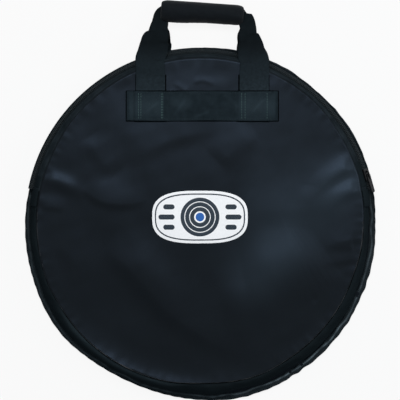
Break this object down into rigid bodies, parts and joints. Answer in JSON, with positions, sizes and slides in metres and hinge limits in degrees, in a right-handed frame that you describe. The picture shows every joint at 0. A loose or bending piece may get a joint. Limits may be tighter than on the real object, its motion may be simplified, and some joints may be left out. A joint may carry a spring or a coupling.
{
  "type": "cymbal bag",
  "caption": "Round padded bag for cymbals with an arched zip, a fold-down front panel and two webbing handles in a padded grip.",
  "frame": {"origin": "centre of the back panel's flat outer face, which the bag lies on", "axes": "+Z out of the front panel, +Y from the middle of the bag to its handles, +X to the right seen from the front"},
  "size_m": [0.6, 0.6795, 0.0509],
  "materials": {
    "panel_cloth": "woven nylon, satin",
    "gusset_cloth": "woven nylon, matte",
    "padding_foam": "closed cell foam",
    "lining_cloth": "smooth lining cloth",
    "zip_tape": "woven zip tape",
    "zip_coil": "nylon coil",
    "binding_tape": "ribbed binding tape",
    "webbing": "ribbed webbing",
    "grip_cloth": "padded cloth",
    "hook_and_loop": "hook and loop tape",
    "slider_metal": "painted zinc casting"
  },
  "bodies": {
    "case": {"back_panel_outer": "panel_cloth", "back_panel_foam": "padding_foam", "back_panel_lining": "lining_cloth", "back_seam_binding": "binding_tape", "front_panel_lower_outer": "panel_cloth", "front_panel_lower_foam": "padding_foam", "front_panel_lower_lining": "lining_cloth", "lower_gusset_outer": "gusset_cloth", "lower_gusset_foam": "padding_foam", "lower_gusset_lining": "lining_cloth", "front_seam_binding_lower": "binding_tape", "zip_gusset_back_strip": "gusset_cloth", "zip_tape_back": "zip_tape", "zip_coil_back": "zip_coil", "zip_front_end_left": "zip_tape", "zip_front_end_right": "zip_tape", "zip_coil_end_left": "zip_coil", "zip_coil_end_right": "zip_coil", "zip_end_tab_left": "webbing", "zip_end_tab_right": "webbing", "back_strap_left": "webbing", "back_strap_right": "webbing", "back_cross_strip": "webbing"},
    "lid": {"front_panel_upper_outer": "panel_cloth", "front_panel_upper_foam": "padding_foam", "front_panel_upper_lining": "lining_cloth", "front_seam_binding_upper": "binding_tape", "zip_gusset_front_strip": "gusset_cloth", "zip_tape_front": "zip_tape", "zip_coil_front": "zip_coil", "front_strap_left": "webbing", "front_strap_right": "webbing", "front_cross_strip": "webbing"},
    "front_handle": {"front_handle_webbing": "webbing", "grip_pad_front": "grip_cloth", "grip_loop_tape": "hook_and_loop"},
    "back_handle": {"back_handle_webbing": "webbing", "grip_pad_back": "grip_cloth", "grip_hook_tape": "hook_and_loop"},
    "slider": {"zip_slider": "slider_metal"},
    "puller": {"pull_tab": "slider_metal"}
  },
  "joints": [
    {"name": "lid_fold", "type": "hinge", "parent": "case", "child": "lid", "pos_m": [0, 0.098, 0.05], "axis": [1, 0, 0], "range_deg": [0, 120]},
    {"name": "front_handle_swing", "type": "hinge", "parent": "lid", "child": "front_handle", "pos_m": [0, 0.243, 0.0472], "axis": [1, 0, 0], "range_deg": [0, 130]},
    {"name": "back_handle_swing", "type": "hinge", "parent": "case", "child": "back_handle", "pos_m": [0, 0.262, 0.0021], "axis": [1, 0, 0], "range_deg": [-160, 0]},
    {"name": "slider_travel", "type": "hinge", "parent": "case", "child": "slider", "pos_m": [0, 0, 0.0225], "axis": [0, 0, 1], "range_deg": [0, 147.02]},
    {"name": "pull_tab_swing", "type": "hinge", "parent": "slider", "child": "puller", "pos_m": [0.28337, 0.08389, 0.02703], "axis": [-0.678, -0.2007, 0.7071], "range_deg": [0, 170]}
  ]
}
